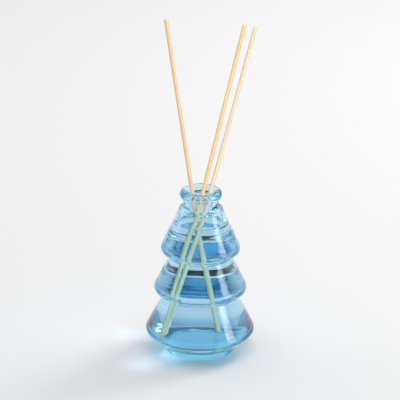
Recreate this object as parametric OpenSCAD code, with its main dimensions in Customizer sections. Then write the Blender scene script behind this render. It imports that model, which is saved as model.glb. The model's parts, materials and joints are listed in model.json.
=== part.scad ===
// Reed diffuser: a tree-shaped bottle of thick glass, the fragrance oil in it, and three reeds.
// Millimetres, +Z up. The origin is the centre of the ring that the bottle stands on.

/* [Foot] */
// Diameter of the foot at the table, before its edge is rounded
foot_d = 53; // [50:0.5:57]
// Diameter of the top of the foot, where the bottom tier begins
foot_top_d = 61; // [59:0.5:70]
// Height of the foot
foot_h = 6.5; // [4:0.5:9]
// Rounding of the foot's lower edge
heel_r = 3; // [1:0.5:4]
// Diameter of the hollow under the base, inside the ring that the bottle stands on
punt_d = 38; // [20:1:42]
// Depth of that hollow
punt_depth = 1.2; // [0.5:0.1:2]
// Glass between the table and the floor of the cavity
base_t = 12; // [9:0.5:12.5]

/* [Tiers] */
// Diameter of the bottom tier's rim, before it is rounded
low_rim_d = 83.6; // [78:0.2:110]
// Rise from the foot to the bottom tier's rim
low_rim_rise = 9.1; // [7:0.1:12]
// Height of the bottom tier's cone above its rim
low_cone_h = 28.3; // [22:0.1:38]
// Diameter of the waist above the bottom tier
low_waist_d = 54.4; // [46:0.2:60]
// Diameter of the middle tier's rim, before it is rounded
mid_rim_d = 71.8; // [66:0.2:90]
// Rise from the waist to the middle tier's rim
mid_rim_rise = 4.5; // [3:0.1:8]
// Height of the middle tier's cone above its rim
mid_cone_h = 27.3; // [21:0.1:38]
// Diameter of the waist above the middle tier
top_waist_d = 45.2; // [41:0.2:51]
// Diameter of the top tier's rim, before it is rounded
top_rim_d = 61.4; // [55:0.2:76]
// Rise from the waist to the top tier's rim
top_rim_rise = 4; // [3:0.1:7]
// Height of the top tier's cone above its rim
top_cone_h = 33.2; // [27:0.1:43]
// Rounding of the three rims
rim_r = 3.75; // [2:0.25:5]
// Rounding in the waists
waist_r = 1; // [0.5:0.25:2]
// Thickness of the glass in the tiers
wall = 3.2; // [2.4:0.1:4]
// Rounding of the cavity opposite the rims
cavity_rim_r = 4; // [1:0.5:6]
// Rounding of the cavity opposite the waists
cavity_waist_r = 3; // [1:0.5:5]

/* [Neck and lip] */
// Diameter of the shoulder at the top of the upper cone
shoulder_d = 32.4; // [28:0.2:38]
// Height of the step from the shoulder up to the neck
shoulder_h = 1; // [0.5:0.1:2]
// Outside diameter of the neck
neck_d = 26.4; // [23:0.2:27]
// Height from the step to the middle of the lip's bead
neck_h = 9.8; // [7:0.1:16]
// Diameter of the mouth, at its narrowest
mouth_d = 17; // [15:0.5:18]
// Thickness of the rolled bead of the lip
lip_t = 7.2; // [6:0.1:8]

/* [Fragrance oil] */
// Height of the oil's surface above the table
oil_level = 101; // [60:1:106]
// Gap between the oil and the glass
oil_gap = 0.1; // [0.05:0.05:0.3]

/* [Reeds] */
// Length of a reed
reed_len = 246; // [200:1:310]
// Diameter of a reed
reed_d = 3; // [2:0.1:4]
// Gap between a reed and the oil round it, and between its foot and the cavity's floor
reed_gap = 0.3; // [0.2:0.05:0.6]
// Gap between a leaning reed and the mouth, at the middle of the bead
mouth_gap = 0.45; // [0.4:0.05:1]
// Left reed: its angle round the mouth and reach in from the mouth's edge, then the same at its foot
left_reed = [166.4, 0, 343.9, 21.4]; // [-360:0.1:360]
// Middle reed: the same four values
middle_reed = [309, 4.9, 208, 4]; // [-360:0.1:360]
// Right reed: the same four values
right_reed = [354.5, 0, 205, 8.2]; // [-360:0.1:360]

/* [Hidden] */
$fn = 96;
glass_colour = [0.62, 0.82, 0.95, 0.45];
oil_colour = [0.72, 0.86, 0.88, 0.5];
reed_colour = [0.87, 0.74, 0.60];

// Heights of the outline's corners, stacked up from the table
low_rim_z = foot_h + low_rim_rise;
low_waist_z = low_rim_z + low_cone_h;
mid_rim_z = low_waist_z + mid_rim_rise;
top_waist_z = mid_rim_z + mid_cone_h;
top_rim_z = top_waist_z + top_rim_rise;
shoulder_z = top_rim_z + top_cone_h;
neck_z = shoulder_z + shoulder_h;
lip_z = neck_z + neck_h;
lip_r = lip_t / 2;
lip_centre_r = mouth_d / 2 + lip_r;

// Outside of the tiers: radius and height of each corner, from the foot to the neck
tiers = [
    [foot_top_d / 2, foot_h],
    [low_rim_d / 2, low_rim_z],
    [low_waist_d / 2, low_waist_z],
    [mid_rim_d / 2, mid_rim_z],
    [top_waist_d / 2, top_waist_z],
    [top_rim_d / 2, top_rim_z],
    [shoulder_d / 2, shoulder_z],
    [neck_d / 2, neck_z]
];
outside = concat([[0, 0], [foot_d / 2, 0]], tiers, [[neck_d / 2, lip_z], [0, lip_z]]);
outside_r = [0, heel_r, waist_r, rim_r, waist_r, rim_r, waist_r, rim_r, waist_r, waist_r / 2, 0, 0];

// The cavity's corners lie one wall inside those of the tiers, from the bottom rim to the shoulder
walls = [for (i = [1 : len(tiers) - 2]) inner_corner(tiers, i, wall)];
floor_r = meet_height(walls[0], tiers[0] - tiers[1], base_t);
bore_z = meet_radius(walls[len(walls) - 1], tiers[7] - tiers[6], mouth_d / 2);
cavity = concat([[0, base_t], [floor_r, base_t]], walls, [[mouth_d / 2, bore_z]]);
cavity_r = [0, cavity_waist_r, cavity_rim_r, cavity_waist_r, cavity_rim_r, cavity_waist_r,
    cavity_rim_r, cavity_waist_r / 2, 0];
above_lip = lip_z + lip_t;

function unit(v) = v / norm(v);
// Unit vectors from corner i of a path to its two neighbours
function sides(path, i) = [unit(path[i - 1] - path[i]), unit(path[i + 1] - path[i])];
function half_angle(s) = acos(s[0] * s[1]) / 2;
// True where the path turns left, which is outwards on a path that runs up the right-hand side
function turns_out(s) = s[0][1] * s[1][0] - s[0][0] * s[1][1] > 0;
function along_bisector(path, i, reach) = let (s = sides(path, i))
    path[i] + unit(s[0] + s[1]) * reach / sin(half_angle(s));
// The corner of a second path that runs at a distance d inside the first
function inner_corner(path, i, d) = along_bisector(path, i, turns_out(sides(path, i)) ? d : -d);
// Radius at which the line from p along v reaches the height z, and its height at the radius r
function meet_height(p, v, z) = p[0] + v[0] * (z - p[1]) / v[1];
function meet_radius(p, v, r) = p[1] + v[1] * (r - p[0]) / v[0];
// The two points where a rounding of radius r leaves the sides of corner i
function tangents(path, i, r) = let (s = sides(path, i), back = r / tan(half_angle(s)))
    [path[i] + s[0] * back, path[i] + s[1] * back];

// A closed outline whose corners are rounded by true arcs
module rounded(path, radii) {
    corners = [for (i = [0 : len(path) - 1]) if (radii[i] > 0) i];
    difference() {
        union() {
            polygon([for (i = [0 : len(path) - 1])
                each (radii[i] > 0 ? tangents(path, i, radii[i]) : [path[i]])]);
            for (i = corners) if (turns_out(sides(path, i)))
                translate(along_bisector(path, i, radii[i])) circle(radii[i]);
        }
        for (i = corners) if (!turns_out(sides(path, i)))
            translate(along_bisector(path, i, radii[i])) circle(radii[i]);
    }
}

module glass_section() {
    difference() {
        union() {
            rounded(outside, outside_r);
            translate([lip_centre_r, lip_z]) circle(lip_r);
        }
        rounded(concat(cavity, [[mouth_d / 2, above_lip], [0, above_lip]]), concat(cavity_r, [0, 0]));
        polygon([[0, -1], [punt_d / 2 + 1, -1], [punt_d / 2, 0], [punt_d / 2 - 2, punt_depth],
            [0, punt_depth]]);
    }
}

// Moves children from +Z at the origin to a reed's line, with the origin at its foot
module on_reed_line(place) {
    mouth_reach = mouth_d / 2 - reed_d / 2 - mouth_gap - place[1];
    mouth = mouth_reach * [cos(place[0]), sin(place[0])];
    foot = (floor_r - place[3]) * [cos(place[2]), sin(place[2])];
    lean = atan(norm(mouth - foot) / (lip_z - base_t));
    foot_z = base_t + reed_gap + reed_d / 2 * sin(lean);
    run = mouth - foot;
    translate([foot[0], foot[1], foot_z])
        rotate([0, atan2(norm(run), lip_z - foot_z), atan2(run[1], run[0])])
            children();
}

module reed(place) {
    color(reed_colour) on_reed_line(place) cylinder(h = reed_len, d = reed_d);
}

module bottle() {
    color(glass_colour) rotate_extrude() glass_section();
}

// The oil, with an eight-sided hole round each reed
module fragrance_oil() {
    $fn = 48;
    body = [for (p = cavity) [p[0] - (p[0] > 0 ? oil_gap : 0), p[1] + (p[1] > base_t ? 0 : oil_gap)]];
    color(oil_colour) difference() {
        rotate_extrude() intersection() {
            rounded(concat(body, [[0, bore_z]]), concat(cavity_r, [0]));
            square([low_rim_d, oil_level]);
        }
        for (place = [left_reed, middle_reed, right_reed])
            on_reed_line(place) translate([0, 0, -base_t])
                cylinder(h = reed_len, d = (reed_d + 2 * reed_gap) / cos(22.5), $fn = 8);
    }
}

module reed_left() {
    reed(left_reed);
}

module reed_middle() {
    reed(middle_reed);
}

module reed_right() {
    reed(right_reed);
}

bottle();
fragrance_oil();
reed_left();
reed_middle();
reed_right();
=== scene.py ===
"""A reed diffuser round its CAD frame: tree-shaped bottle of blue glass, fragrance oil and three reeds."""

import json
import math

import bmesh
import bpy
from bpy.props import FloatProperty, FloatVectorProperty, IntProperty, PointerProperty
from bpy.types import Operator, Panel, PropertyGroup
from mathutils import Matrix, Vector


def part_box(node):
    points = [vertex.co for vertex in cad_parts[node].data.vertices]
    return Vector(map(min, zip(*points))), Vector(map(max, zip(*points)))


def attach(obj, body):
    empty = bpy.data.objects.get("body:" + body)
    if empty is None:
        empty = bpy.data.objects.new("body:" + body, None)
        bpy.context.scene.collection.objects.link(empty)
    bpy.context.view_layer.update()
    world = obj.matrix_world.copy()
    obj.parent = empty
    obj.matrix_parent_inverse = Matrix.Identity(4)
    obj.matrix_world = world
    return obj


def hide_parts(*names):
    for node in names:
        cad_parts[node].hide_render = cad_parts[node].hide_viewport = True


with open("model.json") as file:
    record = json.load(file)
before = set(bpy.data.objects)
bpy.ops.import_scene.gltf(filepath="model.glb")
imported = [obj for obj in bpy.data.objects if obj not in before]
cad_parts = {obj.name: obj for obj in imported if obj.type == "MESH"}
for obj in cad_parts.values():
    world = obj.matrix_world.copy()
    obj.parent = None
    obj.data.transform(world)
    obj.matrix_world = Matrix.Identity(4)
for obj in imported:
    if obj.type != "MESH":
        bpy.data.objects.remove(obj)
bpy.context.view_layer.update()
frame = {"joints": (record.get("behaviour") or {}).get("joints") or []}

bl_info = {
    "name": "Reed Diffuser",
    "version": (1, 0, 0),
    "blender": (4, 5, 0),
    "location": "View3D > Sidebar > Diffuser",
    "description": "Builds a glass reed diffuser on its CAD frame, with its materials and a studio",
    "category": "Add Mesh",
}

MM = 0.001
REEDS = ("reed_left", "reed_middle", "reed_right")
BOTTLE_LOW, BOTTLE_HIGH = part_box("bottle")
BOTTLE_HEIGHT = BOTTLE_HIGH.z - BOTTLE_LOW.z

GLASS_IOR = 1.52
OIL_IOR = 1.44
CANE_IOR = 1.5
# How strongly the glass and the oil absorb, per metre
GLASS_DENSITY = 23.0
OIL_DENSITY = 0.6
# How high the oil creeps up a reed, and how far below its surface a reed is soaked through and its painted
# blue light is at full strength
CREEP = 12 * MM
SOAK_AND_BLUE_LIGHT_DEPTH = 3 * MM

FLOOR_RADIUS = 1.35
# Metres and degrees
CAMERA_PLACE = (0, -1.5, 0.701)
CAMERA_PITCH = 21.21
CAMERA_ROLL = 0.467
CAMERA_LENS = 195.4
CAMERA_SHIFT = -0.965 / 400


def length(name, description, default_mm, low_mm=0.0, high_mm=400.0):
    """A length property, given in millimetres and kept in metres."""
    return FloatProperty(name=name, description=description, default=default_mm * MM,
                         min=low_mm * MM, max=high_mm * MM, precision=5, unit="LENGTH")


def hex_to_linear(code):
    """A #rrggbb colour as three linear values."""
    parts = [int(code[i:i + 2], 16) / 255 for i in (1, 3, 5)]
    return tuple(p / 12.92 if p <= 0.04045 else ((p + 0.055) / 1.055) ** 2.4 for p in parts)


def colour(name, description, code):
    """A colour property with an sRGB hex default."""
    return FloatVectorProperty(name=name, description=description, subtype="COLOR",
                               size=3, min=0, max=1, default=hex_to_linear(code))


class BottleSizes(PropertyGroup):
    """The bottle's outline, corner by corner, and the cavity inside it."""

    foot_d: length("Foot", "Diameter of the foot at the table, before its edge is rounded", 53)
    foot_top_d: length("Foot top", "Diameter of the top of the foot", 61)
    foot_h: length("Foot height", "Height of the foot", 6.5)
    heel_r: length("Heel rounding", "Rounding of the foot's lower edge", 3)
    punt_d: length("Hollow", "Diameter of the hollow under the base", 38)
    punt_depth: length("Hollow depth", "Depth of the hollow under the base", 1.2)
    base_t: length("Base", "Glass between the table and the cavity's floor", 12)
    low_rim_d: length("Bottom rim", "Diameter of the bottom tier's rim before rounding", 83.6)
    low_rim_rise: length("Bottom rim rise", "Rise from the foot to the bottom rim", 9.1)
    low_cone_h: length("Bottom cone", "Height of the bottom tier's cone", 28.3)
    low_waist_d: length("Lower waist", "Diameter of the waist above the bottom tier", 54.4)
    mid_rim_d: length("Middle rim", "Diameter of the middle tier's rim before rounding", 71.8)
    mid_rim_rise: length("Middle rim rise", "Rise from the waist to the middle rim", 4.5)
    mid_cone_h: length("Middle cone", "Height of the middle tier's cone", 27.3)
    top_waist_d: length("Upper waist", "Diameter of the waist above the middle tier", 45.2)
    top_rim_d: length("Top rim", "Diameter of the top tier's rim before rounding", 61.4)
    top_rim_rise: length("Top rim rise", "Rise from the waist to the top rim", 4)
    top_cone_h: length("Top cone", "Height of the top tier's cone", 33.2)
    rim_r: length("Rim rounding", "Rounding of the three rims", 3.75)
    waist_r: length("Waist rounding", "Rounding in the waists", 1)
    shoulder_d: length("Shoulder", "Diameter of the shoulder", 32.4)
    shoulder_h: length("Shoulder step", "Height of the step up to the neck", 1)
    neck_d: length("Neck", "Outside diameter of the neck", 26.4)
    neck_h: length("Neck height", "From the step to the middle of the lip's bead", 9.8)
    mouth_d: length("Mouth", "Diameter of the mouth at its narrowest", 17)
    lip_t: length("Lip", "Thickness of the rolled bead of the lip", 7.2)
    wall: length("Wall", "Thickness of the glass in the tiers", 3.2)
    cavity_rim_r: length("Cavity rim rounding", "Rounding of the cavity opposite the rims", 4)
    cavity_waist_r: length("Cavity waist rounding", "Rounding opposite the waists", 3)
    steps: IntProperty(name="Steps", description="Steps of a full turn", default=160, min=24)
    ripple: length("Ripple", "Height of the waves left inside the glass by its mould", 0.42)
    ripple_size: length("Ripple size", "Width of those waves, which are a quarter as high", 15)


class OilSizes(PropertyGroup):
    """The fragrance oil."""

    level: length("Level", "Height of the oil's surface above the table", 101)
    bite: length("Bite", "How far the oil's skin lies inside the glass, so no air film shows", 0.1)
    meniscus: length("Meniscus", "How far the oil climbs the glass", 1.3)


class ReedSizes(PropertyGroup):
    """The three rattan reeds."""

    reed_d: length("Diameter", "Diameter of a reed", 3)
    chamfer: length("Chamfer", "Wear on the edges of the cut ends", 0.12)
    ridge: length("Ridge", "Height of the ridges along a reed", 0.06)
    ridge_size: length("Ridge width", "Width of those ridges", 0.9)


class Finishes(PropertyGroup):
    """The colours of the glass, the oil, the reeds and the studio."""

    coat: colour("Coat", "What one pass through the glass's tinted skin keeps of white light", "#E2F4FE")
    glass: colour("Glass", "What thick glass keeps of white light", "#33DDF4")
    oil: colour("Oil", "What deep oil keeps of white light", "#CBF3EB")
    reed_left: colour("Left reed", "Tan rattan", "#C6AC8C")
    reed_middle: colour("Middle reed", "Golden rattan", "#CFB087")
    reed_right: colour("Right reed", "Pale rattan", "#CDBBA2")
    # Painted blue light: this greyer, greener tone below the oil stands in for the blue light inside the
    # tinted bottle, as well as for the real darkening of soaked rattan.
    soak_and_blue_light: colour("Soaked reed", "Rattan below the oil, seen in the blue light there", "#B5BAAB")
    floor: colour("Floor", "Pale studio paper", "#F2F2F3")


def deselect_all():
    """Leaves object mode with nothing selected."""
    if bpy.context.object and bpy.context.object.mode != "OBJECT":
        bpy.ops.object.mode_set(mode="OBJECT")
    bpy.ops.object.select_all(action="DESELECT")


def new_piece(name):
    """Names the primitive that was just added, and its mesh."""
    piece = bpy.context.object
    piece.name = name
    piece.data.name = name
    return piece


def finish_piece(piece, body, slot, *nodes):
    """Puts a finished piece in the model: it rides on its body and stands for its CAD nodes."""
    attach(piece, body)
    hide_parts(*nodes)
    return piece


# The outline of a turned piece is a list of (radius, height) corners, each with a rounding.

def unit(v):
    return v / v.length


def sides(corner, before, after):
    """Unit vectors from a corner to its neighbours, and half the angle between them."""
    a, b = unit(before - corner), unit(after - corner)
    return a, b, a.angle(b) / 2


def inner_corner(path, i, depth):
    """The corner of a second path that runs at a depth inside the first."""
    a, b, half = sides(path[i], path[i - 1], path[i + 1])
    outwards = a.y * b.x - a.x * b.y > 0
    return path[i] + unit(a + b) * (depth if outwards else -depth) / math.sin(half)


def arc(centre, radius, start, end, steps):
    """Points of an arc from one angle to another, in radians."""
    turns = [start + (end - start) * k / steps for k in range(steps + 1)]
    return [centre + radius * Vector((math.cos(t), math.sin(t))) for t in turns]


def rounded(path, radii, steps=9):
    """A path whose corners are replaced by arcs."""
    points = []
    for i, (corner, radius) in enumerate(zip(path, radii)):
        if radius == 0:
            points.append(corner)
            continue
        a, b, half = sides(corner, path[i - 1], path[i + 1])
        centre = corner + unit(a + b) * radius / math.sin(half)
        first = corner + a * radius / math.tan(half) - centre
        last = corner + b * radius / math.tan(half) - centre
        start = math.atan2(first.y, first.x)
        turn = math.atan2(first.cross(last), first.dot(last))
        points += arc(centre, radius, start, start + turn, steps)
    return points


def spaced(path, gap):
    """The same path with no stretch longer than a gap, so that it can ripple."""
    points = [path[0]]
    for a, b in zip(path, path[1:]):
        cuts = max(1, math.ceil((b - a).length / gap))
        points += [a.lerp(b, k / cuts) for k in range(1, cuts + 1)]
    return points


def meet_height(p, v, z):
    """The point where the line from p along v reaches a height."""
    return Vector((p.x + v.x * (z - p.y) / v.y, z))


def meet_radius(p, v, r):
    """The point where the line from p along v reaches a radius."""
    return Vector((r, p.y + v.y * (r - p.x) / v.x))


def tier_corners(s):
    """The outside of the tiers, from the top of the foot to the bottom of the neck."""
    z = s.foot_h
    corners = [Vector((s.foot_top_d / 2, z))]
    for rise, diameter in (
        (s.low_rim_rise, s.low_rim_d),
        (s.low_cone_h, s.low_waist_d),
        (s.mid_rim_rise, s.mid_rim_d),
        (s.mid_cone_h, s.top_waist_d),
        (s.top_rim_rise, s.top_rim_d),
        (s.top_cone_h, s.shoulder_d),
        (s.shoulder_h, s.neck_d),
    ):
        z += rise
        corners.append(Vector((diameter / 2, z)))
    return corners


def cavity_corners(s, depth):
    """The cavity from the edge of its floor to the bottom of the mouth's bore, a depth inside the glass."""
    tiers = tier_corners(s)
    walls = [inner_corner(tiers, i, depth) for i in range(1, len(tiers) - 1)]
    floor = meet_height(walls[0], tiers[0] - tiers[1], s.base_t + depth - s.wall)
    bore = meet_radius(walls[-1], tiers[-1] - tiers[-2], s.mouth_d / 2 + s.wall - depth)
    radii = [s.cavity_waist_r, s.cavity_rim_r] + [s.cavity_waist_r, s.cavity_rim_r] * 2
    return [floor] + walls + [bore], radii + [s.cavity_waist_r / 2, s.waist_r]


def glass_outline(s):
    """The whole section of the bottle, from the middle of its base, over the lip, to the cavity's floor."""
    tiers = tier_corners(s)
    lip_r = s.lip_t / 2
    lip = Vector((s.mouth_d / 2 + lip_r, tiers[-1].y + s.neck_h))
    base = [Vector((0, s.punt_depth)), Vector((s.punt_d / 2 - 3 * MM, s.punt_depth)),
            Vector((s.punt_d / 2, 0)), Vector((s.foot_d / 2, 0))]
    base_r = [0, s.waist_r, s.waist_r, s.heel_r]
    tiers_r = [s.waist_r] + [s.rim_r, s.waist_r] * 3 + [s.waist_r / 2]
    tiers_r[-2] = s.waist_r
    below_lip = lip + Vector((s.neck_d / 2 - lip.x, -math.sqrt(lip_r ** 2 - (s.neck_d / 2 - lip.x) ** 2)))
    outside = rounded(base + tiers + [below_lip], base_r + tiers_r + [0])
    start = math.atan2(below_lip.y - lip.y, below_lip.x - lip.x)
    bead = arc(lip, lip_r, start, math.pi, 40)[1:]
    inner, inner_r = cavity_corners(s, s.wall)
    inner.reverse()
    inner_r.reverse()
    inside = rounded([bead[-1]] + inner + [Vector((0, s.base_t))], [0] + inner_r + [0])[1:]
    return outside + bead + inside


def oil_outline(s, oil):
    """The section of the oil: the cavity up to the oil's level, a meniscus, and the flat surface."""
    inner, inner_r = cavity_corners(s, s.wall - oil.bite)
    lower = inner[:-2]
    top = meet_height(lower[-1], inner[-2] - lower[-1], oil.level + oil.meniscus)
    side = rounded([Vector((0, s.base_t - oil.bite))] + lower + [top], [0] + inner_r[:-2] + [0])
    climb = 2.6 * oil.meniscus
    curve = []
    for k in range(1, 9):
        t = k / 8
        curve.append(Vector((top.x - oil.bite - climb * t, oil.level + oil.meniscus * (1 - t) ** 3)))
    return side + curve + [Vector((0, oil.level))]


def turn_outline(name, outline, steps):
    """A piece turned from its outline: one vertex is drawn out point by point and spun about +Z."""
    deselect_all()
    bpy.ops.mesh.primitive_plane_add(size=MM, location=(0, 0, 0))
    piece = new_piece(name)
    bpy.ops.object.mode_set(mode="EDIT")
    bpy.ops.mesh.select_mode(type="VERT")
    bpy.ops.mesh.select_all(action="SELECT")
    bpy.ops.mesh.merge(type="CENTER")
    bpy.ops.transform.translate(value=(outline[0].x, 0, outline[0].y))
    for a, b in zip(outline, outline[1:]):
        step = (b.x - a.x, 0, b.y - a.y)
        bpy.ops.mesh.extrude_region_move(TRANSFORM_OT_translate={"value": step})
    bpy.ops.mesh.select_all(action="SELECT")
    bpy.ops.mesh.spin(steps=steps, angle=2 * math.pi, center=(0, 0, 0), axis=(0, 0, 1))
    bpy.ops.mesh.select_all(action="SELECT")
    bpy.ops.mesh.remove_doubles(threshold=0.002 * MM)
    bpy.ops.mesh.normals_make_consistent(inside=False)
    bpy.ops.object.mode_set(mode="OBJECT")
    bpy.ops.object.shade_smooth()
    return piece


def ripple(piece, name, size, strength, group="", flatten=1.0):
    """Pushes a piece's surface along its normals by soft clouds, and applies it. Every piece that uses the
    same clouds gets the same waves at the same place. Flattened clouds are lower than they are wide."""
    texture = bpy.data.textures.get(name) or bpy.data.textures.new(name, "CLOUDS")
    texture.noise_scale = size
    texture.noise_depth = 1
    deselect_all()
    bpy.ops.object.empty_add(location=(0, 0, 0))
    space = bpy.context.object
    space.scale.z = flatten
    bpy.context.view_layer.update()
    modifier = piece.modifiers.new("ripple", "DISPLACE")
    modifier.texture = texture
    modifier.texture_coords = "OBJECT"
    modifier.texture_coords_object = space
    modifier.strength = strength
    modifier.mid_level = 0.5
    modifier.vertex_group = group
    deselect_all()
    bpy.context.view_layer.objects.active = piece
    piece.select_set(True)
    bpy.ops.object.modifier_apply(modifier="ripple")
    bpy.data.objects.remove(space)


def add_node(tree, kind, settings=None, inputs=None):
    """One shader node with its settings and its inputs: a value is set, and a socket is linked."""
    node = tree.nodes.new(kind)
    for key, value in (settings or {}).items():
        setattr(node, key, value)
    for key, value in (inputs or {}).items():
        if isinstance(value, bpy.types.NodeSocket):
            tree.links.new(value, node.inputs[key])
        else:
            node.inputs[key].default_value = value
    return node


def new_material(name):
    """An empty node material and its tree."""
    material = bpy.data.materials.new(name)
    material.use_nodes = True
    material.node_tree.nodes.clear()
    return material, material.node_tree


def rgba(values):
    return (*values, 1.0)


def ramp(tree, factor, stops):
    """A colour ramp with the given (place, colour) stops."""
    node = add_node(tree, "ShaderNodeValToRGB", inputs={"Fac": factor})
    elements = node.color_ramp.elements
    while len(elements) < len(stops):
        elements.new(1.0)
    for element, (place, value) in zip(elements, stops):
        element.position = place
        element.color = value
    return node


def output(tree, surface, volume=None):
    links = {"Surface": surface}
    if volume:
        links["Volume"] = volume
    add_node(tree, "ShaderNodeOutputMaterial", inputs=links)


def blue_glass(finishes):
    """Soda-lime glass tinted pale blue in the melt and pressed in a mould. Thin walls look clear and
    long paths through the glass deep blue; the skin is bright, with the soft waves of the mould."""
    material, tree = new_material("moulded_blue_glass")
    place = add_node(tree, "ShaderNodeTexCoord").outputs["Object"]
    waves = add_node(tree, "ShaderNodeTexNoise", inputs={"Vector": place, "Scale": 1 / (9 * MM),
                                                         "Detail": 2.0, "Roughness": 0.4})
    skin = add_node(tree, "ShaderNodeBump", inputs={"Strength": 0.35, "Distance": 0.08 * MM,
                                                    "Height": waves.outputs["Fac"]})
    marks = add_node(tree, "ShaderNodeTexNoise", inputs={"Vector": place, "Scale": 1 / (16 * MM),
                                                         "Detail": 5.0, "Roughness": 0.6})
    haze = ramp(tree, marks.outputs["Fac"], [(0.45, (0.0, 0.0, 0.0, 1)), (0.8, (0.03, 0.03, 0.03, 1))])
    glass = add_node(tree, "ShaderNodeBsdfPrincipled", inputs={
        "Base Color": rgba(finishes.coat), "IOR": GLASS_IOR, "Transmission Weight": 1.0,
        "Roughness": haze.outputs["Color"], "Normal": skin.outputs["Normal"]})
    tint = add_node(tree, "ShaderNodeVolumeAbsorption", inputs={
        "Color": rgba(finishes.glass), "Density": GLASS_DENSITY})
    output(tree, glass.outputs["BSDF"], tint.outputs["Volume"])
    return material


def clear_oil(finishes):
    """Fragrance oil: a thin, clear liquid a little lighter in index than glass, and almost colourless."""
    material, tree = new_material("clear_fragrance_oil")
    place = add_node(tree, "ShaderNodeTexCoord").outputs["Object"]
    still = add_node(tree, "ShaderNodeTexNoise", inputs={
        "Vector": place, "Scale": 1 / (20 * MM), "Detail": 1.0})
    skin = add_node(tree, "ShaderNodeBump", inputs={"Strength": 0.2, "Distance": 0.05 * MM,
                                                    "Height": still.outputs["Fac"]})
    liquid = add_node(tree, "ShaderNodeBsdfPrincipled", inputs={
        "Base Color": (1, 1, 1, 1), "IOR": OIL_IOR, "Transmission Weight": 1.0, "Roughness": 0.0,
        "Normal": skin.outputs["Normal"]})
    tint = add_node(tree, "ShaderNodeVolumeAbsorption", inputs={
        "Color": rgba(finishes.oil), "Density": OIL_DENSITY})
    output(tree, liquid.outputs["BSDF"], tint.outputs["Volume"])
    return material


def rattan(name, tone, soak_and_blue_light_tone, axis, oil_level):
    """Peeled rattan core, cut to length and left raw: matt, with fibres along the reed that show as fine
    darker and lighter streaks, short open pores darkened with painted shade, and a greyer end below the oil,
    partly soaked rattan and partly painted blue light."""
    material, tree = new_material(name)
    place = add_node(tree, "ShaderNodeTexCoord").outputs["Object"]
    turn = axis.rotation_difference(Vector((0, 0, 1))).to_euler()
    straight = add_node(tree, "ShaderNodeMapping", inputs={
        "Vector": place, "Rotation": turn}).outputs["Vector"]
    # Fibres are about 0.3 mm wide and run unbroken for some 40 mm
    fibre_place = add_node(tree, "ShaderNodeMapping", inputs={"Vector": straight, "Scale": (1, 1, 0.008)})
    fibres = add_node(tree, "ShaderNodeTexNoise", inputs={
        "Vector": fibre_place.outputs["Vector"], "Scale": 1 / (0.3 * MM), "Detail": 3.0, "Roughness": 0.6})
    # Pores are drawn 0.25 mm wide, coarser than the real ones, and 3 mm long
    pore_place = add_node(tree, "ShaderNodeMapping", inputs={"Vector": straight, "Scale": (1, 1, 0.08)})
    pores = add_node(tree, "ShaderNodeTexVoronoi", inputs={
        "Vector": pore_place.outputs["Vector"], "Scale": 1 / (0.55 * MM), "Randomness": 1.0})
    # Bands of colour some 30 mm long, where the cane grew at another rate
    band_place = add_node(tree, "ShaderNodeMapping", inputs={"Vector": straight, "Scale": (0.3, 0.3, 1)})
    bands = add_node(tree, "ShaderNodeTexNoise", inputs={
        "Vector": band_place.outputs["Vector"], "Scale": 1 / (30 * MM), "Detail": 2.0})
    dark = tuple(c * k for c, k in zip(tone, (0.78, 0.70, 0.60)))
    pale = tuple(min(1.0, c * k) for c, k in zip(tone, (1.12, 1.14, 1.18)))
    streaks = ramp(tree, fibres.outputs["Fac"], [(0.28, rgba(dark)), (0.5, rgba(tone)), (0.74, rgba(pale))])
    warm = tuple(c * k for c, k in zip(tone, (0.98, 0.9, 0.78)))
    banded = add_node(tree, "ShaderNodeMix", {"data_type": "RGBA"}, {
        "Factor": ramp(tree, bands.outputs["Fac"], [(0.4, (0, 0, 0, 1)), (0.75, (0.45, 0.45, 0.45, 1))]
                       ).outputs["Color"],
        "A": streaks.outputs["Color"], "B": rgba(warm)})
    # Painted shade: the pores are holes, and the shade inside them is painted as 0.42 of the tone.
    hole = ramp(tree, pores.outputs["Distance"], [(0.06, (1, 1, 1, 1)), (0.16, (0, 0, 0, 1))])
    with_pore_shade = add_node(tree, "ShaderNodeMix", {"data_type": "RGBA"}, {
        "Factor": hole.outputs["Color"], "A": banded.outputs["Result"],
        "B": rgba(tuple(c * 0.42 for c in tone))})
    # Painted blue light: below the oil the tone fades into the greyer, greener soaked tone, which stands
    # partly for soaked rattan and partly for the blue light that reaches the reeds inside the tinted bottle.
    height = add_node(tree, "ShaderNodeSeparateXYZ", inputs={"Vector": place}).outputs["Z"]
    soak_and_blue_light = add_node(tree, "ShaderNodeMapRange", inputs={
        "Value": height, "From Min": oil_level + CREEP, "From Max": oil_level - SOAK_AND_BLUE_LIGHT_DEPTH,
        "To Min": 0.0, "To Max": 0.6})
    wet_and_blue_lit = add_node(tree, "ShaderNodeMix", {"data_type": "RGBA"}, {
        "Factor": soak_and_blue_light.outputs["Result"], "A": with_pore_shade.outputs["Result"], "B": rgba(soak_and_blue_light_tone)})
    relief = add_node(tree, "ShaderNodeMath", {"operation": "SUBTRACT"}, {
        0: fibres.outputs["Fac"], 1: hole.outputs["Color"]})
    skin = add_node(tree, "ShaderNodeBump", inputs={"Strength": 0.6, "Distance": 0.05 * MM,
                                                    "Height": relief.outputs["Value"]})
    rough = add_node(tree, "ShaderNodeMapRange", inputs={
        "Value": fibres.outputs["Fac"], "To Min": 0.55, "To Max": 0.8})
    cane = add_node(tree, "ShaderNodeBsdfPrincipled", inputs={
        "Base Color": wet_and_blue_lit.outputs["Result"], "Roughness": rough.outputs["Result"], "IOR": CANE_IOR,
        "Subsurface Weight": 0.12, "Subsurface Scale": 1 * MM, "Subsurface Radius": (1.0, 0.7, 0.4),
        "Normal": skin.outputs["Normal"]})
    output(tree, cane.outputs["BSDF"])
    return material


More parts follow.
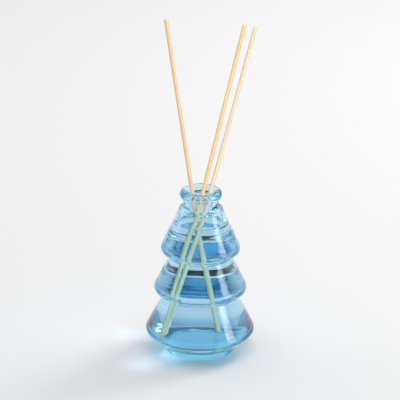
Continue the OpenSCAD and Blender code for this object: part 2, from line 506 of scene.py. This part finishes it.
def studio_paper(finishes):
    """Seamless studio paper: matt and nearly white, with a faint tooth."""
    material, tree = new_material("studio_paper")
    place = add_node(tree, "ShaderNodeTexCoord").outputs["Object"]
    tooth = add_node(tree, "ShaderNodeTexNoise", inputs={
        "Vector": place, "Scale": 1 / (1.5 * MM), "Detail": 3.0})
    skin = add_node(tree, "ShaderNodeBump", inputs={"Strength": 0.05, "Distance": 0.1 * MM,
                                                    "Height": tooth.outputs["Fac"]})
    paper = add_node(tree, "ShaderNodeBsdfPrincipled", inputs={
        "Base Color": rgba(finishes.floor), "Roughness": 0.9, "Specular IOR Level": 0.2,
        "Normal": skin.outputs["Normal"]})
    output(tree, paper.outputs["BSDF"])
    return material


class DIFFUSER_OT_bottle(Operator):
    """Turn the glass bottle from its outline"""

    bl_idname = "diffuser.bottle"
    bl_label = "Glass Bottle"

    def execute(self, context):
        s = context.scene.bottle_sizes
        outline = spaced(glass_outline(s), 1.2 * MM)
        piece = turn_outline("glass_bottle", outline, s.steps)
        skin = piece.vertex_groups.new(name="moulded")
        limit = middle_of_wall(s)
        hollow = s.punt_d / 2 - 3 * MM
        for v in piece.data.vertices:
            reach = math.hypot(v.co.x, v.co.y)
            in_cavity = v.co.z > s.base_t - 0.5 * MM and reach < limit(v.co.z)
            in_hollow = v.co.z < s.base_t / 2 and reach < hollow
            if in_cavity or in_hollow:
                skin.add([v.index], 1.0, "REPLACE")
            elif 2 * MM < v.co.z < BOTTLE_HEIGHT - 2 * s.lip_t:
                skin.add([v.index], 0.3, "REPLACE")
        ripple(piece, "mould_waves", s.ripple_size, s.ripple, "moulded", 0.25)
        piece.data.materials.append(blue_glass(context.scene.finishes))
        finish_piece(piece, "bottle", "bottle_glass", "bottle")
        return {"FINISHED"}


def middle_of_wall(s):
    """A function of height that gives the radius halfway through the glass."""
    tiers = tier_corners(s)
    middle = [inner_corner(tiers, i, s.wall / 2) for i in range(1, len(tiers) - 1)]
    neck = (s.mouth_d + s.neck_d) / 4

    def limit(z):
        if z >= middle[-1].y:
            return neck
        if z <= middle[0].y:
            return meet_height(middle[0], tiers[0] - tiers[1], z).x
        for a, b in zip(middle, middle[1:]):
            if a.y <= z <= b.y:
                return a.lerp(b, (z - a.y) / (b.y - a.y)).x
        return neck

    return limit


class DIFFUSER_OT_oil(Operator):
    """Fill the bottle with fragrance oil"""

    bl_idname = "diffuser.oil"
    bl_label = "Fragrance Oil"

    def execute(self, context):
        s = context.scene.bottle_sizes
        oil = context.scene.oil_sizes
        outline = spaced(oil_outline(s, oil), 1.2 * MM)
        piece = turn_outline("fragrance_oil_fill", outline, s.steps)
        skin = piece.vertex_groups.new(name="wall")
        below = [v.index for v in piece.data.vertices if v.co.z < oil.level - 0.5 * MM]
        skin.add(below, 1.0, "REPLACE")
        ripple(piece, "mould_waves", s.ripple_size, -s.ripple, "wall", 0.25)
        piece.data.materials.append(clear_oil(context.scene.finishes))
        finish_piece(piece, "bottle", "fragrance_oil", "fragrance_oil")
        return {"FINISHED"}


def reed_line(node, radius):
    """The foot and the top of a reed's middle line, worked out from its CAD box and its joint's axis."""
    joint = next(j for j in frame["joints"] if j["child"] == node)
    axis = Vector(joint["axis"]).normalized()
    low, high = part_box(node)
    foot, top = Vector(), Vector()
    for i in range(3):
        reach = radius * math.sqrt(1 - axis[i] ** 2)
        ends = (low[i] + reach, high[i] - reach)
        foot[i], top[i] = ends if axis[i] > 0 else ends[::-1]
    return foot, top


class DIFFUSER_OT_reeds(Operator):
    """Cut the three rattan reeds"""

    bl_idname = "diffuser.reeds"
    bl_label = "Rattan Reeds"

    def execute(self, context):
        s = context.scene.reed_sizes
        finishes = context.scene.finishes
        tones = {node: tuple(getattr(finishes, node)) for node in REEDS}
        for node in REEDS:
            foot, top = reed_line(node, s.reed_d / 2)
            piece = self.cut_reed(node + "_cane", s, (top - foot).length)
            axis = (top - foot).normalized()
            turn = Vector((0, 0, 1)).rotation_difference(axis).to_matrix().to_4x4()
            piece.data.transform(Matrix.Translation(foot) @ turn)
            piece.data.update()
            ripple(piece, "cane_ridges", s.ridge_size, -s.ridge)
            level = context.scene.oil_sizes.level
            # The tone below the oil is partly soaked rattan and partly painted blue light.
            soak_and_blue_light = tuple(finishes.soak_and_blue_light)
            piece.data.materials.append(rattan(node + "_rattan", tones[node], soak_and_blue_light, axis, level))
            finish_piece(piece, node, "reed_rattan", node)
        return {"FINISHED"}

    def cut_reed(self, name, s, length_m):
        """A straight length of cane on +Z, with worn edges at its cut ends and rings to carry its ridges."""
        deselect_all()
        radius = s.reed_d / 2
        bpy.ops.mesh.primitive_cylinder_add(vertices=32, radius=radius, depth=length_m,
                                            location=(0, 0, length_m / 2))
        piece = new_piece(name)
        bpy.ops.object.transform_apply(location=True, rotation=False, scale=False)
        bpy.ops.object.mode_set(mode="EDIT")
        bpy.ops.mesh.select_mode(type="EDGE")
        bpy.ops.mesh.select_all(action="DESELECT")
        mesh = bmesh.from_edit_mesh(piece.data)
        for edge in mesh.edges:
            a, b = (v.co for v in edge.verts)
            edge.select_set(abs(a.z - b.z) > length_m / 2)
        bmesh.update_edit_mesh(piece.data)
        bpy.ops.mesh.subdivide(number_cuts=90)
        bpy.ops.mesh.select_all(action="DESELECT")
        mesh = bmesh.from_edit_mesh(piece.data)
        for edge in mesh.edges:
            a, b = (v.co for v in edge.verts)
            at_end = min(a.z, b.z) > length_m - MM / 10 or max(a.z, b.z) < MM / 10
            edge.select_set(at_end)
        bmesh.update_edit_mesh(piece.data)
        bpy.ops.mesh.bevel(offset=s.chamfer, segments=2, affect="EDGES")
        bpy.ops.mesh.select_all(action="DESELECT")
        bpy.ops.mesh.select_mode(type="FACE")
        mesh = bmesh.from_edit_mesh(piece.data)
        for face in mesh.faces:
            face.select_set(abs(face.normal.z) > 0.99)
        bmesh.update_edit_mesh(piece.data)
        bpy.ops.mesh.inset(thickness=radius * 0.35, depth=-0.05 * MM)
        bpy.ops.mesh.inset(thickness=radius * 0.3, depth=0.0)
        bpy.ops.object.mode_set(mode="OBJECT")
        bpy.ops.object.shade_smooth_by_angle(angle=math.radians(50))
        return piece


def aim(thing, target):
    """Turns a light so that it looks at a point."""
    thing.rotation_euler = (target - thing.location).to_track_quat("-Z", "Y").to_euler()


def softbox(name, place, target, size, power, tone=(1, 1, 1)):
    """A rectangular area light aimed at a point."""
    data = bpy.data.lights.new(name, "AREA")
    data.shape = "RECTANGLE"
    data.size, data.size_y = size
    data.energy = power
    data.color = tone
    light = bpy.data.objects.new(name, data)
    bpy.context.scene.collection.objects.link(light)
    light.location = place
    aim(light, target)
    return light


class DIFFUSER_OT_stage(Operator):
    """Set the pale floor, the softboxes and the camera"""

    bl_idname = "diffuser.stage"
    bl_label = "Studio Stage"

    def execute(self, context):
        self.lay_floor(context)
        self.light(context)
        self.place_camera(context)
        return {"FINISHED"}

    def lay_floor(self, context):
        """A wide sheet of pale paper under the bottle."""
        deselect_all()
        bpy.ops.mesh.primitive_circle_add(vertices=96, radius=FLOOR_RADIUS, fill_type="NGON",
                                          location=(0, 0, -0.05 * MM))
        floor = new_piece("paper_floor")
        floor.data.materials.append(studio_paper(context.scene.finishes))

    def light(self, context):
        """A bright room, a key softbox behind on the right, a strip in front of it and a fill in front."""
        world = bpy.data.worlds.new("studio")
        context.scene.world = world
        world.use_nodes = True
        tree = world.node_tree
        way = add_node(tree, "ShaderNodeTexCoord").outputs["Generated"]
        split = add_node(tree, "ShaderNodeSeparateXYZ", inputs={"Vector": way})
        # The room is bright behind the bottle and overhead, and dark in front, round the camera. A dark
        # strip along the horizon behind shows through the undersides of the tiers as their dark bands.
        behind = self.smooth_step(tree, split.outputs["Y"], -0.15, 0.3)
        overhead = self.smooth_step(tree, split.outputs["Z"], 0.72, 0.92)
        overhead = self.arithmetic(tree, "MULTIPLY", overhead, 1.7)
        lit = self.arithmetic(tree, "MAXIMUM", behind, overhead)
        sideways = self.arithmetic(tree, "ABSOLUTE", split.outputs["X"], 0.0)
        aside = self.arithmetic(tree, "MULTIPLY", sideways, 0.35)
        above = self.smooth_step(tree, self.arithmetic(tree, "ADD", split.outputs["Z"], aside), 0.19, 0.27)
        power = self.arithmetic(tree, "MULTIPLY", self.arithmetic(tree, "MULTIPLY", lit, above), 0.95)
        background = tree.nodes["Background"]
        background.inputs["Color"].default_value = (1.0, 1.0, 1.0, 1)
        tree.links.new(power, background.inputs["Strength"])
        middle = Vector((0, 0, BOTTLE_HEIGHT / 2))
        softbox("key", Vector((0.9, 0.75, 1.0)), middle, (0.45, 0.45), 6.0, (1.0, 0.98, 0.96))
        strip = softbox("strip", Vector((1.03, -0.35, 0.51)), middle, (0.38, 0.95), 4.2)
        strip.visible_diffuse = False
        # The fill lights the reeds alone, through the glass, as the bright front of a studio would
        fill = softbox("fill", Vector((0.35, -1.25, 1.0)), middle, (1.2, 0.8), 40.0)
        reeds = bpy.data.collections.new("reeds_in_fill")
        for node in REEDS:
            reeds.objects.link(bpy.data.objects[node + "_cane"])
        fill.light_linking.receiver_collection = reeds
        fill.light_linking.blocker_collection = reeds
        cycles = context.scene.cycles
        cycles.max_bounces = 40
        cycles.transmission_bounces = 40
        cycles.glossy_bounces = 16
        cycles.diffuse_bounces = 6
        # Blurred glass would stop light from reaching the reeds through two surfaces
        cycles.blur_glossy = 0.0
        context.scene.view_settings.view_transform = "Standard"

    def smooth_step(self, tree, value, low, high):
        """A value that goes softly from nearly dark to light between two levels."""
        step = add_node(tree, "ShaderNodeMapRange", {"interpolation_type": "SMOOTHSTEP"}, {
            "Value": value, "From Min": low, "From Max": high, "To Min": 0.04, "To Max": 1.0})
        return step.outputs["Result"]

    def arithmetic(self, tree, operation, a, b):
        """The result of one Math node."""
        return add_node(tree, "ShaderNodeMath", {"operation": operation}, {0: a, 1: b}).outputs["Value"]

    def place_camera(self, context):
        """A long lens well back from the bottle, looking down on it."""
        data = bpy.data.cameras.new("camera")
        data.lens = CAMERA_LENS
        data.clip_end = 50
        data.shift_x = CAMERA_SHIFT
        camera = bpy.data.objects.new("camera", data)
        context.scene.collection.objects.link(camera)
        pitch = math.radians(90 - CAMERA_PITCH)
        roll = math.radians(CAMERA_ROLL)
        camera.matrix_world = (Matrix.Translation(CAMERA_PLACE) @ Matrix.Rotation(pitch, 4, "X")
                               @ Matrix.Rotation(roll, 4, "Z"))
        context.scene.camera = camera


class DIFFUSER_PT_build(Panel):
    """Lists the operators that build the diffuser"""

    bl_idname = "DIFFUSER_PT_build"
    bl_label = "Reed Diffuser"
    bl_space_type = "VIEW_3D"
    bl_region_type = "UI"
    bl_category = "Diffuser"

    def draw(self, context):
        column = self.layout.column()
        for operator in OPERATORS:
            column.operator(operator.bl_idname)


GROUPS = (("bottle_sizes", BottleSizes), ("oil_sizes", OilSizes), ("reed_sizes", ReedSizes),
          ("finishes", Finishes))
OPERATORS = (DIFFUSER_OT_bottle, DIFFUSER_OT_oil, DIFFUSER_OT_reeds, DIFFUSER_OT_stage)


def register():
    for name, group in GROUPS:
        bpy.utils.register_class(group)
        setattr(bpy.types.Scene, name, PointerProperty(type=group))
    for operator in OPERATORS:
        bpy.utils.register_class(operator)
    bpy.utils.register_class(DIFFUSER_PT_build)


def unregister():
    bpy.utils.unregister_class(DIFFUSER_PT_build)
    for operator in reversed(OPERATORS):
        bpy.utils.unregister_class(operator)
    for name, group in reversed(GROUPS):
        delattr(bpy.types.Scene, name)
        bpy.utils.unregister_class(group)


def main():
    register()
    bpy.ops.diffuser.bottle()
    bpy.ops.diffuser.oil()
    bpy.ops.diffuser.reeds()
    bpy.ops.diffuser.stage()


if __name__ == "__main__":
    main()
